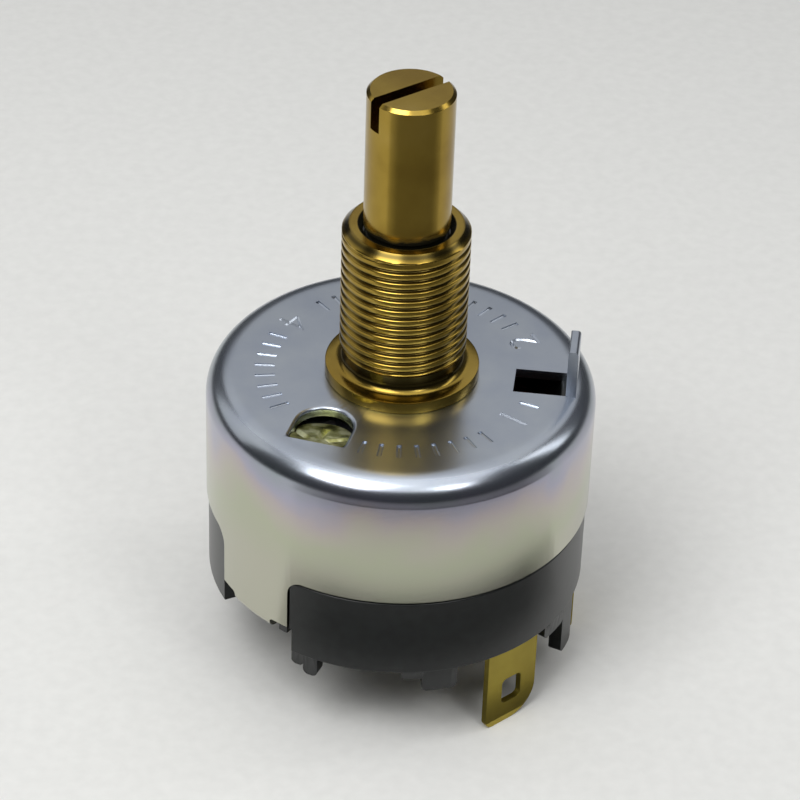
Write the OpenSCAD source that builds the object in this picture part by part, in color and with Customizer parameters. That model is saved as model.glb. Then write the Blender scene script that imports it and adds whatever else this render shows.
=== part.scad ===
// Rotary switch, four positions: slotted quarter-inch shaft, threaded panel bushing,
// pressed steel cover crimped over a moulded base, blade terminals on the underside.
// Millimetres. The origin is on the shaft's axis at the cover's top face, and +Z is
// the end that goes through the panel.

/* [Cover] */
// Outer diameter of the pressed cover
cover_d = 29.1; // [28.5:0.1:36]
// Thickness of the cover's sheet steel
sheet_t = 0.75; // [0.6:0.05:0.9]
// Outside radius of the rounded shoulder
shoulder_r = 2; // [1.5:0.1:2.5]
// Depth of the skirt below the top face
skirt_h = 10.5; // [9:0.1:13]
// Width of each crimp tab, as an angle about the axis
tab_angle = 29; // [20:1:36]
// Width of the finger that is folded under the base, as an angle
finger_angle = 16; // [10:1:19]
// Height of the locating lug above the top face
lug_h = 3.9; // [2:0.1:5]
// Width of the locating lug
lug_w = 2.95; // [2:0.05:3.5]
// Distance of the locating lug's middle from the axis
lug_pitch_r = 12.7; // [12:0.05:12.9]

/* [Bushing] */
// Major diameter of the bushing's thread
thread_d = 9.4; // [9:0.1:11.5]
// Height of the bushing above the cover
bushing_h = 12.9; // [8:0.1:20]
// Diameter of the flange that sits on the cover
flange_d = 11.46; // [11.4:0.02:14]
// Thickness of the flange
flange_t = 1; // [0.6:0.1:1.4]

/* [Shaft] */
// Diameter of the shaft
shaft_d = 6.35; // [5.3:0.05:7.7]
// Height of the shaft's end above the cover
shaft_h = 23.95; // [16:0.05:40]
// Width of the screwdriver slot
slot_w = 1; // [0.6:0.1:1.6]
// Depth of the screwdriver slot
slot_depth = 2.35; // [1:0.05:3]

/* [Base] */
// Depth of the ledge that the crimp fingers grip
ledge_h = 15.2; // [15:0.1:19]
// Height of the base's lower rim below the ledge
rim_h = 2.1; // [1.6:0.1:3]
// Thickness of the floor that carries the contacts
floor_t = 2.6; // [2:0.1:2.8]

/* [Terminals] */
// Width of a blade
blade_w = 4.8; // [4:0.1:6]
// Thickness of a blade
blade_t = 0.5; // [0.4:0.05:0.9]
// Height of a blade below the ledge
blade_h = 9.4; // [7:0.05:14]

/* [Switching] */
// Angle between two positions
step_angle = 60; // [60]
// Distance of the fixed contacts from the axis
contact_r = 7.2; // [6.8:0.1:7.6]

/* [Hidden] */
$fn = 96;

// Distance by which a cutting shape passes the face that it cuts
past = 1;
// Running clearance of the shaft in its bushing, on the radius
running = 0.05;
// Clearance of a keyed or seated fit, on the radius
seat = 0.03;

cover_r = cover_d / 2;
cover_in_r = cover_r - sheet_t;
shaft_r = shaft_d / 2;
thread_r = thread_d / 2;
flange_r = flange_d / 2;

// Cover: crimp tabs, lanced stop tongue with its window, locating lug with its hole
tab_at = [-137, 43];
finger_in_r = cover_in_r - 2.4;
finger_top = -ledge_h + 0.2;
window_at = -127;
window_r = 2.1;
window_mid_r = 9.1;
window_corner_r = 0.6;
window_turn = 22;
hinge_r = window_mid_r + window_r + 0.15;
tongue_tip_r = window_mid_r - window_r + 0.2;
tongue_drop = 1.7;
lug_at = -5.5;
lug_in_r = lug_pitch_r - sheet_t / 2;
lug_out_r = lug_pitch_r + sheet_t / 2;
lug_hole_r = lug_in_r - lug_h - 0.2;

// Bushing
spigot_r = thread_r - 0.2;
swage_r = spigot_r + 0.7;
swage_h = 0.6;
bushing_low = -sheet_t - swage_h;
neck_r = thread_r - 0.35;
neck_h = 1.3;
neck_fillet = 0.7;
thread_chamfer = 0.5;
mouth_r = min(shaft_r + 0.35, thread_r - thread_chamfer - 0.1);

// Shaft and the pieces on it, from the bushing down
clip_top = bushing_low - 0.05;
clip_t = 0.5;
groove_r = shaft_r - 0.62;
clip_r = groove_r + 2.05;
shoulder_z = clip_top - clip_t - 0.1;
// Relief groove between the journal and the knob's end, in the bushing's mouth
relief_r = shaft_r - 0.2;
relief_top = bushing_h + 0.05;
relief_w = 0.6;
key_r = shaft_r - 0.27;
key_flat = shaft_r - 0.97;
stop_t = 0.65;
stop_hub_r = 6;
stop_r = 8.2;
cam_top = shoulder_z - stop_t - 1.15;
cam_t = 2;
cam_flat = 5.4;
leaf_t = 0.3;
leaf_gap = 0.02;
disc_t = 0.5;
disc_low = cam_top - cam_t - 0.2 - disc_t;
rotor_top = disc_low - 0.3;

// Base
base_gap = 0.3;
base_spigot_r = cover_in_r - 0.1;
base_r = cover_r - 0.15;
base_chamfer = 0.15;
recess_r = base_spigot_r - 0.05;
upper_r = base_spigot_r - 1.8;
lower_r = upper_r - 0.6;
rim_in_r = base_r - 1.8;
// The leaves' ends sit this deep in slots in the cup's wall
leaf_seat = 0.7;
leaf_half = sqrt(pow(upper_r + leaf_seat, 2) - pow(cam_flat + leaf_t, 2));
// Height of the short ribs beside each crimp finger
tab_rib_h = 1.3;
// Gap between a finger and its ribs, as an angle, and the width of the ribs
tab_notch = 0.7;
tab_rib_angle = 3.2;
base_h = ledge_h + rim_h;
floor_low = -ledge_h;
floor_top = floor_low + floor_t;
foot_inset = 0.05;
// Distance from the rim's outside to a foot's inner face
foot_t = 1.05;
deepest_foot = 4.3;
// Feet on the rim: start angle, end angle, depth below the rim
feet = [
    [-117.2, -112.5, 1.6], [-80.7, -70, 1.8], [-26, -18, deepest_foot], [92, 108, 1.8],
    [158, 172, 1.8]
];
// Lower steps that run into three of the feet
steps = [[-121.4, -117, 1], [-87, -79.7, 0.6], [-37, -25.5, 1.1]];

// Contacts, from the floor up
rivet_head_t = 0.65;
rivet_head_r = 1.9;
rivet_r = 1.25;
button_r = 1.3;
button_t = 0.4;
bridge_t = 0.6;
bridge_w = 4;
bridge_tail = 2.2;
bridge_low = floor_top + rivet_head_t + 0.05 + button_t;
bridge_top = bridge_low + bridge_t;
rotor_low = bridge_top + 1.7;
rotor_r = lower_r - 0.6;
spring_r = 1.55;
spring_wire_r = 0.25;
pocket_r = spring_r + spring_wire_r + 0.15;
spring_at_r = key_r + seat + 0.3 + pocket_r;
spring_turns = 5;
spring_top = rotor_top - 0.8;

// Terminals, counter-clockwise: blades 3, 2, 1 and the common one
terminal_at = [-49, 11, 71, 131];
rest_at = terminal_at[3];
blade_face_r = base_r - 0.5;
foot_w = 4.2;
blade_bend_r = blade_t + 0.4;
blade_big_r = blade_w / 2;
blade_small_r = 0.7;
tip_h = ledge_h + blade_h;
eye_w = 1.86;
eye_h = 2.3;
eye_corner_r = 0.4;
eye_z = -tip_h + 2.95;

// The stop plate's tail and the tongue fill the turn that the shaft can't make
travel = step_angle * (len(terminal_at) - 1);
tongue_half = asin(window_r / window_mid_r) + 1;
tail_from = window_at + 360 - tongue_half - 1;
tail_angle = 360 - travel - 2 * tongue_half - 2;

// Block bounded by two radii, two angles and two heights
module arc_block(r0, r1, a0, a1, z0, z1) {
    rotate([0, 0, a0])
        rotate_extrude(angle = a1 - a0)
            translate([r0, z0]) square([r1 - r0, z1 - z0]);
}

// Quarter turn of a strip that is folded about a line across a radial plane, at a radius
// and a height; from is the angle at which the turn starts
module quarter_bend(r, z, inside_r, t, w, from) {
    translate([r, w / 2, z]) rotate([90, 0, 0]) rotate([0, 0, from])
        rotate_extrude(angle = 90)
            translate([inside_r, 0]) square([t, w]);
}

// Half section of a drum with a rounded upper edge
module drum_section(r, top, round_r, low) {
    translate([0, low]) square([r - round_r, top - low]);
    translate([0, low]) square([r, top - round_r - low]);
    translate([r - round_r, top - round_r]) circle(round_r);
}

// Round bar between two heights with two flats, as on the shaft's keyed end
module keyed(r, flat, z0, z1) {
    intersection() {
        translate([0, 0, z0]) cylinder(r = r, h = z1 - z0);
        translate([-r, -flat, z0]) cube([2 * r, 2 * flat, z1 - z0]);
    }
}

// Opening for the keyed end
module keyway(z0, z1) {
    keyed(key_r + seat, key_flat + seat, z0 - past, z1 + past);
}

// Plate standing in a radial plane, drawn as radius and height
module radial_plate(at, w) {
    rotate([0, 0, at])
        translate([0, w / 2, 0])
            rotate([90, 0, 0])
                linear_extrude(w) children();
}

// Places the window, drawn on the X axis and turned about the middle of its round end
module at_window() {
    rotate([0, 0, window_at]) translate([window_mid_r, 0, 0])
        rotate([0, 0, window_turn]) translate([-window_mid_r, 0, 0]) children();
}

// Plan of the window: half round toward the axis, straight with round corners outside
module window_plan(inset) {
    r = window_r - inset;
    square_r = window_corner_r;
    translate([window_mid_r, 0]) circle(r);
    translate([window_mid_r, -r]) square([hinge_r - window_mid_r - square_r, 2 * r]);
    translate([window_mid_r, square_r - r])
        square([hinge_r - window_mid_r, 2 * (r - square_r)]);
    for (side = [-1, 1])
        translate([hinge_r - square_r, side * (r - square_r)]) circle(square_r);
}

// Tongue lanced from the window and pushed down toward the axis
module stop_tongue() {
    slope = atan(tongue_drop / (hinge_r - tongue_tip_r));
    under = [sheet_t * sin(slope), -sheet_t * cos(slope)];
    top_in = [tongue_tip_r, -tongue_drop];
    top_out = [hinge_r, 0];
    at_window() intersection() {
        radial_plate(0, 2 * window_r)
            polygon([top_out, top_in, top_in + under, top_out + under]);
        translate([0, 0, -2 * tongue_drop])
            linear_extrude(3 * tongue_drop) {
                window_plan(0.05);
                translate([hinge_r - 0.2, window_corner_r - window_r])
                    square([0.6, 2 * (window_r - window_corner_r)]);
            }
    }
}

// Lug folded straight up at the outer end of its hole
module locating_lug() {
    rotate([0, 0, lug_at]) {
        translate([lug_in_r, -lug_w / 2, 0]) cube([sheet_t, lug_w, lug_h]);
        quarter_bend(lug_out_r, 0, 0, sheet_t, lug_w, 180);
        translate([lug_out_r, -lug_w / 2, -sheet_t]) cube([0.3, lug_w, sheet_t - 0.15]);
    }
}

// Half section of the cover with its wall down to the ledge and folded in under it
module cover_section() {
    difference() {
        drum_section(cover_r, 0, shoulder_r, -ledge_h);
        drum_section(cover_in_r, -sheet_t, shoulder_r - sheet_t, -ledge_h - past);
    }
    intersection() {
        translate([cover_in_r, -ledge_h]) circle(sheet_t);
        translate([cover_in_r, -ledge_h - sheet_t]) square(sheet_t);
    }
    translate([finger_in_r, -ledge_h - sheet_t]) square([cover_in_r - finger_in_r, sheet_t]);
}

// What is cut away from the wall below a height, between two angles
module wall_cut(from, to, z) {
    arc_block(finger_in_r - past, cover_r + past, from, to, -ledge_h - sheet_t - past, z);
}

module cover() {
    half = tab_angle / 2;
    finger_half = finger_angle / 2;
    color("LightSteelBlue") {
        difference() {
            rotate_extrude() cover_section();
            wall_cut(tab_at[0] + half, tab_at[1] - half, -skirt_h);
            wall_cut(tab_at[1] + half, tab_at[0] - half + 360, -skirt_h);
            for (at = tab_at) {
                wall_cut(at - half - 1, at - finger_half, finger_top);
                wall_cut(at + finger_half, at + half + 1, finger_top);
            }
            translate([0, 0, -sheet_t - past])
                cylinder(r = spigot_r + seat, h = sheet_t + 2 * past);
            at_window() translate([0, 0, -sheet_t - past])
                linear_extrude(sheet_t + 2 * past) window_plan(0);
            rotate([0, 0, lug_at]) translate([lug_hole_r, -lug_w / 2, -sheet_t - past])
                cube([lug_out_r - lug_hole_r, lug_w, sheet_t + 2 * past]);
        }
        stop_tongue();
        locating_lug();
    }
}

module bushing() {
    body_top = bushing_h - thread_chamfer;
    color("Goldenrod")
        rotate_extrude()
            difference() {
                union() {
                    translate([0, bushing_low]) square([swage_r, swage_h]);
                    translate([0, -sheet_t]) square([spigot_r, sheet_t + 0.1]);
                    square([flange_r, flange_t]);
                    square([neck_r, body_top]);
                    difference() {
                        square([neck_r + neck_fillet, flange_t + neck_fillet]);
                        translate([neck_r + neck_fillet, flange_t + neck_fillet])
                            circle(neck_fillet);
                    }
                    polygon([
                        [0, flange_t + neck_h], [neck_r, flange_t + neck_h],
                        [thread_r, flange_t + neck_h + 0.3], [thread_r, body_top],
                        [thread_r - thread_chamfer, bushing_h], [0, bushing_h]
                    ]);
                }
                translate([-past, bushing_low - past])
                    square([shaft_r + running + past, bushing_h - bushing_low + 2 * past]);
                polygon([
                    [0, bushing_h - mouth_r], [mouth_r, bushing_h], [mouth_r, bushing_h + past],
                    [0, bushing_h + past]
                ]);
            }
}

// Ring cut into the shaft down to a radius, between two heights
module shaft_groove(r, low, high) {
    translate([0, 0, low])
        difference() {
            cylinder(r = shaft_r + past, h = high - low);
            translate([0, 0, -past]) cylinder(r = r, h = high - low + 2 * past);
        }
}

module shaft() {
    chamfer = 0.25;
    shaft_low = (rotor_low + rotor_top) / 2 - 0.7;
    color("DarkGoldenrod")
        difference() {
            union() {
                translate([0, 0, shoulder_z])
                    cylinder(r = shaft_r, h = shaft_h - chamfer - shoulder_z);
                translate([0, 0, shaft_h - chamfer])
                    cylinder(r1 = shaft_r, r2 = shaft_r - chamfer, h = chamfer);
                keyed(key_r, key_flat, shaft_low, shoulder_z + 0.1);
            }
            rotate([0, 0, 37]) translate([-shaft_r - past, -slot_w / 2, shaft_h - slot_depth])
                cube([shaft_d + 2 * past, slot_w, slot_depth + past]);
            shaft_groove(groove_r, clip_top - clip_t, clip_top);
            shaft_groove(relief_r, relief_top - relief_w, relief_top);
        }
}

module retaining_clip() {
    opening = 2 * groove_r - 0.6;
    color("DimGray")
        translate([0, 0, clip_top - clip_t])
            linear_extrude(clip_t)
                difference() {
                    circle(clip_r);
                    circle(groove_r + seat);
                    translate([0, -opening / 2]) square([clip_r + past, opening]);
                    for (at = [-125, 125])
                        rotate(at) translate([groove_r + 0.25, 0]) circle(0.6);
                }
}

module stop_plate() {
    color("Silver")
        difference() {
            translate([0, 0, shoulder_z - stop_t]) linear_extrude(stop_t) {
                circle(stop_hub_r);
                intersection() {
                    circle(stop_r);
                    polygon([
                        [0, 0],
                        for (share = [0, 0.5, 1])
                            let (a = tail_from - tail_angle * share)
                                2 * stop_r * [cos(a), sin(a)]
                    ]);
                }
            }
            keyway(shoulder_z - stop_t, shoulder_z);
        }
}

module index_cam() {
    color("Ivory")
        difference() {
            union() {
                translate([0, 0, cam_top - cam_t])
                    rotate([0, 0, 30])
                        cylinder(r = cam_flat / cos(30), h = cam_t, $fn = 6);
                translate([0, 0, cam_top - 0.1])
                    cylinder(r = key_r + 1.2, h = shoulder_z - stop_t - cam_top + 0.1);
            }
            keyway(cam_top - cam_t, shoulder_z);
        }
}

// Flat spring leaf lying on one face of the hexagonal cam; side is -1 or 1
module detent_leaf(side) {
    color("LightGray")
        translate([side * (cam_flat + leaf_gap + leaf_t / 2), 0, cam_top - cam_t / 2])
            cube([leaf_t, 2 * leaf_half, cam_t - 0.2], center = true);
}

module detent_spring_left() {
    detent_leaf(-1);
}

module detent_spring_right() {
    detent_leaf(1);
}

module insulating_disc() {
    color("SaddleBrown")
        translate([0, 0, disc_low])
            difference() {
                cylinder(r = upper_r - 0.05, h = disc_t);
                translate([0, 0, -past]) cylinder(r = key_r + 1.7, h = disc_t + 2 * past);
            }
}

module rotor() {
    guide_in = bridge_w / 2 + 0.15;
    color("Gainsboro")
        difference() {
            union() {
                translate([0, 0, rotor_low]) cylinder(r = rotor_r, h = rotor_top - rotor_low);
                translate([0, 0, rotor_top - 0.1])
                    cylinder(r = key_r + 1.4, h = cam_top - cam_t - rotor_top + 0.1);
                rotate([0, 0, rest_at])
                    for (side = [-1, 1])
                        translate([-bridge_tail, side * (guide_in + 0.5) - 0.5, bridge_low])
                            cube([rotor_r + bridge_tail - 1, 1, rotor_low - bridge_low + 0.1]);
            }
            keyed(key_r + seat, key_flat + seat, (rotor_low + rotor_top) / 2 - 0.7 - seat,
                cam_top);
            rotate([0, 0, rest_at]) translate([spring_at_r, 0, rotor_low - past])
                cylinder(r = pocket_r, h = spring_top - rotor_low + past);
        }
}

// Points of one ring of the spring's wire
function ring(centre, out, sides) = [
    for (k = [0:sides - 1])
        centre + spring_wire_r * (cos(360 * k / sides) * out + [0, 0, sin(360 * k / sides)])
];

// Compression spring that presses the bridge down
module contact_spring() {
    sides = 8;
    steps = 16 * spring_turns;
    low = bridge_top + spring_wire_r;
    high = spring_top - spring_wire_r;
    rings = [
        for (i = [0:steps])
            let (a = 360 * spring_turns * i / steps, out = [cos(a), sin(a), 0])
                each ring(spring_r * out + [0, 0, low + (high - low) * i / steps], out, sides)
    ];
    walls = [
        for (i = [0:steps - 1], k = [0:sides - 1])
            let (n = (k + 1) % sides, a = i * sides)
                [a + k, a + sides + k, a + sides + n, a + n]
    ];
    ends = [[for (k = [0:sides - 1]) k], [for (k = [sides - 1:-1:0]) steps * sides + k]];
    color("Silver")
        rotate([0, 0, rest_at]) translate([spring_at_r, 0, 0])
            polyhedron(rings, concat(walls, ends));
}

module contact_bridge() {
    out = contact_r + bridge_tail;
    round_r = bridge_w / 2;
    color("Gold")
        rotate([0, 0, rest_at]) translate([0, 0, bridge_low])
            linear_extrude(bridge_t)
                difference() {
                    union() {
                        translate([round_r - bridge_tail, 0]) circle(round_r);
                        translate([out - round_r, 0]) circle(round_r);
                        translate([round_r - bridge_tail, -round_r])
                            square([out + bridge_tail - bridge_w, bridge_w]);
                    }
                    for (at = [0, contact_r]) translate([at, 0]) circle(button_r / 2 + seat);
                }
}

module bridge_contacts() {
    color("WhiteSmoke")
        rotate([0, 0, rest_at])
            for (at = [0, contact_r])
                translate([at, 0, bridge_low]) {
                    cylinder(r = button_r / 2, h = bridge_t);
                    translate([0, 0, -button_t / 2]) cylinder(r = button_r, h = button_t / 2);
                    translate([0, 0, -button_t])
                        cylinder(r1 = button_r - 0.4, r2 = button_r, h = button_t / 2);
                }
}

// Half section of the base's cup and floor
module cup_section() {
    round_r = shoulder_r - sheet_t - 0.05;
    difference() {
        union() {
            drum_section(base_spigot_r, -sheet_t, round_r, floor_low);
            translate([0, floor_low]) square([base_r, -skirt_h - base_gap - floor_low]);
        }
        translate([-past, disc_low]) square([upper_r + past, -disc_low]);
        translate([-past, floor_top]) square([lower_r + past, -floor_top]);
    }
}

// Foot or step under the rim, set in from the rim's outside
module rim_foot(foot, inset) {
    arc_block(base_r - foot_t + inset, base_r - base_chamfer - inset, foot[0], foot[1],
        -base_h - foot[2], -base_h + inset);
}

// Rim below the floor with its feet, open where the blades and the crimp fingers pass
module rim() {
    notch = finger_angle / 2 + tab_notch;
    open_from = notch + tab_rib_angle;
    open_to = tab_angle / 2 + 1.3;
    low = -base_h - deepest_foot - past;
    difference() {
        union() {
            rotate_extrude()
                polygon([
                    [rim_in_r, floor_low], [rim_in_r, -base_h],
                    [base_r - base_chamfer, -base_h], [base_r, base_chamfer - base_h],
                    [base_r, floor_low]
                ]);
            for (foot = feet) rim_foot(foot, foot_inset);
            for (step = steps) rim_foot(step, 2 * foot_inset);
        }
        for (at = tab_at) {
            arc_block(rim_in_r - past, cover_r + past, at - notch, at + notch,
                low, floor_low + past);
            arc_block(rim_in_r - past, cover_r + past, at - open_to, at - open_from,
                low, floor_low + past);
            arc_block(rim_in_r - past, cover_r + past, at + open_from, at + open_to,
                low, floor_low + past);
        }
        for (at = terminal_at)
            rotate([0, 0, at])
                translate([rim_in_r - past, -blade_w / 2 - 0.2, low])
                    cube([
                        blade_face_r + 0.1 - rim_in_r + past, blade_w + 0.4,
                        floor_low + past - low
                    ]);
    }
}

// Slots in the cup's wall that hold the ends of both spring leaves
module leaf_slots() {
    for (side = [-1, 1])
        translate([
            side * (cam_flat + leaf_gap + leaf_t / 2) - leaf_t / 2 - 0.15,
            -leaf_half - 0.15,
            cam_top - cam_t
        ])
            cube([leaf_t + 0.3, 2 * leaf_half + 0.3, past - cam_top + cam_t]);
}

module base() {
    half = tab_angle / 2 + 0.5;
    color("#1c1c1e")
        difference() {
            union() {
                rotate_extrude() cup_section();
                rim();
                rotate([0, 0, rest_at]) translate([contact_r, 0, floor_top - 0.1])
                    cylinder(r = rivet_head_r, h = rivet_head_t + 0.1);
            }
            for (at = tab_at) {
                arc_block(recess_r, cover_r + past, at - half, at + half,
                    -base_h - past, -skirt_h);
                arc_block(rim_in_r - past, cover_r + past, at - half, at + half,
                    -base_h - past, floor_low - tab_rib_h);
            }
            translate([0, 0, floor_low - past])
                cylinder(r = rivet_r + seat, h = floor_t + 2 * past);
            for (i = [0:2])
                rotate([0, 0, terminal_at[i]]) translate([contact_r, 0, floor_low - past])
                    cylinder(r = rivet_r + seat, h = floor_t + 2 * past);
            leaf_slots();
        }
}

// Rectangle with round corners, centred at a height
module rounded_hole(w, h, r, z) {
    translate([-w / 2, z - h / 2 + r]) square([w, h - 2 * r]);
    translate([r - w / 2, z - h / 2]) square([w - 2 * r, h]);
    for (x = [-1, 1], y = [-1, 1])
        translate([x * (w / 2 - r), z + y * (h / 2 - r)]) circle(r);
}

// Outline of a blade, seen from outside: one small and one large round corner, wire eye
module blade_outline(top) {
    half = blade_w / 2;
    difference() {
        union() {
            translate([-half, -tip_h + blade_big_r]) square([blade_w, top + tip_h - blade_big_r]);
            translate([half - blade_big_r, -tip_h + blade_big_r]) circle(blade_big_r);
            translate([blade_small_r - half, -tip_h]) square([half - blade_small_r, blade_big_r]);
            translate([-half, -tip_h + blade_small_r]) square([half, blade_big_r]);
            translate([blade_small_r - half, -tip_h + blade_small_r]) circle(blade_small_r);
        }
        rounded_hole(eye_w, eye_h, eye_corner_r, eye_z);
    }
}

// Terminal: foot riveted under the floor at a radius, folded down into the blade
module terminal(at, rivet_at) {
    in_r = blade_face_r - blade_bend_r;
    bend_z = floor_low - blade_bend_r;
    color("#b59a3c")
        rotate([0, 0, at])
            difference() {
                union() {
                    translate([0, 0, floor_low - blade_t])
                        linear_extrude(blade_t) {
                            translate([rivet_at, 0]) circle(foot_w / 2);
                            translate([rivet_at, -foot_w / 2])
                                square([in_r - rivet_at, foot_w]);
                        }
                    quarter_bend(in_r, bend_z, blade_bend_r - blade_t, blade_t, foot_w, 0);
                    translate([blade_face_r, 0, 0]) rotate([90, 0, 90])
                        translate([0, 0, -blade_t])
                            linear_extrude(blade_t) blade_outline(bend_z);
                }
                translate([rivet_at, 0, floor_low - blade_t - past])
                    cylinder(r = rivet_r + seat, h = blade_t + 2 * past);
            }
}

module terminal_common() {
    terminal(terminal_at[3], 0);
}

module terminal_1() {
    terminal(terminal_at[2], contact_r);
}

module terminal_2() {
    terminal(terminal_at[1], contact_r);
}

module terminal_3() {
    terminal(terminal_at[0], contact_r);
}

// Rivet with a domed contact head on the floor and a spread head under the terminal
module contact_rivet(at, r) {
    low = floor_low - blade_t;
    color("WhiteSmoke")
        rotate([0, 0, at]) translate([r, 0, 0]) {
            translate([0, 0, low - 0.1]) cylinder(r = rivet_r, h = floor_top - low + 0.2);
            translate([0, 0, low - 0.5]) cylinder(r1 = rivet_r, r2 = rivet_head_r, h = 0.5);
            translate([0, 0, floor_top]) cylinder(r = rivet_head_r, h = rivet_head_t / 2);
            translate([0, 0, floor_top + rivet_head_t / 2])
                cylinder(r1 = rivet_head_r, r2 = rivet_head_r - 0.5, h = rivet_head_t / 2);
        }
}

module contact_rivet_common() {
    contact_rivet(0, 0);
}

module contact_rivet_1() {
    contact_rivet(terminal_at[2], contact_r);
}

module contact_rivet_2() {
    contact_rivet(terminal_at[1], contact_r);
}

module contact_rivet_3() {
    contact_rivet(terminal_at[0], contact_r);
}

cover();
bushing();
shaft();
retaining_clip();
stop_plate();
index_cam();
detent_spring_left();
detent_spring_right();
insulating_disc();
rotor();
contact_spring();
contact_bridge();
bridge_contacts();
base();
terminal_common();
terminal_1();
terminal_2();
terminal_3();
contact_rivet_common();
contact_rivet_1();
contact_rivet_2();
contact_rivet_3();
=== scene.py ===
"""Looks of a four-position rotary switch, section by section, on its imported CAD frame.

Meshes are drawn in millimetres and made metres when each piece is finished.
"""

import math

import bmesh
import bpy
from mathutils import Matrix, Vector


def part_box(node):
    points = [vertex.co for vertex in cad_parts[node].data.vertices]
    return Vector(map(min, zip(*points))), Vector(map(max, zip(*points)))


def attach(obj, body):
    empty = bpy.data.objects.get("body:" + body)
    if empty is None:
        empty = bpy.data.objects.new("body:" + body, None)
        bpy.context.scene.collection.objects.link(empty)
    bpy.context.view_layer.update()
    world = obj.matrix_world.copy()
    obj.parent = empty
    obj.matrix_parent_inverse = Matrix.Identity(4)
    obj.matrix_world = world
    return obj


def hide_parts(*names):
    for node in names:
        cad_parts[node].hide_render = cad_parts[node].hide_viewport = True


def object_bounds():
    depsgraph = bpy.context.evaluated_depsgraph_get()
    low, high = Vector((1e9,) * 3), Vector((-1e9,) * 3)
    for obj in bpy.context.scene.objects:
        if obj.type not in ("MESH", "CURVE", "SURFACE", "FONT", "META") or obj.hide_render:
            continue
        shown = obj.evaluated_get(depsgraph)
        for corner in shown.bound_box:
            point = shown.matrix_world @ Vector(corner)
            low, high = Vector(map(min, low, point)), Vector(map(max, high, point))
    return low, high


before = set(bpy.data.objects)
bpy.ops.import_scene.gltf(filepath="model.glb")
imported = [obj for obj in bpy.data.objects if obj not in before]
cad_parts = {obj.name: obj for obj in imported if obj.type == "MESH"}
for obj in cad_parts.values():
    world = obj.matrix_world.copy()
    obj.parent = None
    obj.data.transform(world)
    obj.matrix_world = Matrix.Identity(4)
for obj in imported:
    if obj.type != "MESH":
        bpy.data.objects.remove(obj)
cad_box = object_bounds()
MM = 0.001

# ---------------------------------------------------------------------------------------
# Studio: the switch stands on its blades on a pale matt sweep. A large soft light hangs
# above it toward the front and a grey wall of light leans over it from behind, with a key
# light at the front left, a strip at the front right and dim fills. The camera looks down
# from the front.

camera_distance = 235.8
camera_elevation = math.radians(35.645)
camera_roll = math.radians(2.05)
camera_aim = Vector((-0.05, 0, -2.78))
camera_lens = 141.74

back = Vector((0, -math.cos(camera_elevation), math.sin(camera_elevation)))
side = Vector((1, 0, 0))
rise = back.cross(side)
across = side * math.cos(camera_roll) + rise * math.sin(camera_roll)
upward = rise * math.cos(camera_roll) - side * math.sin(camera_roll)

camera = bpy.data.objects.new("camera", bpy.data.cameras.new("camera"))
bpy.context.collection.objects.link(camera)
camera.data.lens = camera_lens
camera.matrix_world = Matrix.Translation((camera_aim + back * camera_distance) * MM) @ (
    Matrix((across, upward, back)).transposed().to_4x4()
)
bpy.context.scene.camera = camera
bpy.context.scene.view_settings.view_transform = "Standard"


def soft_light(name, width, height, power, azimuth, elevation, distance):
    """Rectangular soft light aimed at the switch from an azimuth (0 is the front) and elevation."""
    lamp = bpy.data.lights.new(name, "AREA")
    lamp.shape = "RECTANGLE"
    lamp.size = width * MM
    lamp.size_y = height * MM
    lamp.energy = power
    bearing = math.radians(azimuth)
    lift = math.radians(elevation)
    away = Vector(
        (
            math.sin(bearing) * math.cos(lift),
            -math.cos(bearing) * math.cos(lift),
            math.sin(lift),
        )
    )
    lamp_object = bpy.data.objects.new(name, lamp)
    bpy.context.collection.objects.link(lamp_object)
    lamp_object.matrix_world = (
        Matrix.Translation(away * distance * MM)
        @ away.to_track_quat("Z", "Y").to_matrix().to_4x4()
    )
    lamp_object.visible_camera = False
    return lamp_object


soft_light("top_light", 380, 330, 0.5, 0, 70, 300)
soft_light("key_light", 150, 160, 0.46, -38, 55, 300)
soft_light("strip_light", 60, 60, 0.07, 36, 46, 300)
soft_light("right_light", 50, 160, 0.06, 104, 35, 260)
soft_light("left_light", 160, 200, 0.07, -110, 30, 260)
soft_light("back_light", 420, 330, 0.27, 180, 57, 330)

world = bpy.data.worlds.new("grey_room")
world.use_nodes = True
world.node_tree.nodes["Background"].inputs["Color"].default_value = (0.30, 0.31, 0.33, 1)
world.node_tree.nodes["Background"].inputs["Strength"].default_value = 0.22
bpy.context.scene.world = world


def linear(code):
    """sRGB hex colour as the linear RGBA that the shaders take."""
    parts = [int(code[i : i + 2], 16) / 255 for i in (1, 3, 5)]
    return [*(p / 12.92 if p <= 0.04045 else ((p + 0.055) / 1.055) ** 2.4 for p in parts), 1]


def put(tree, kind, inputs=None, **settings):
    """Adds a node. Each input is a value, or another node's output that is linked to it."""
    node = tree.nodes.new(kind)
    for name, value in settings.items():
        setattr(node, name, value)
    for key, value in (inputs or {}).items():
        socket = next(s for s in node.inputs if key in (s.identifier, s.name) and s.enabled)
        if isinstance(value, bpy.types.NodeSocket):
            tree.links.new(value, socket)
        else:
            socket.default_value = value
    return node


def finish(name, **sockets):
    """New material with its shader's sockets set, and its node tree and shader."""
    made = bpy.data.materials.new(name)
    made.use_nodes = True
    shader = made.node_tree.nodes["Principled BSDF"]
    for socket, value in sockets.items():
        shader.inputs[socket.replace("_", " ")].default_value = value
    return made, made.node_tree, shader


def ramp(node, *stops):
    """Sets a colour ramp's stops, each a place from 0 to 1 and an sRGB hex colour."""
    elements = node.color_ramp.elements
    while len(elements) < len(stops):
        elements.new(1)
    for element, (place, code) in zip(elements, stops):
        element.position = place
        element.color = linear(code)
    return node


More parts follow.
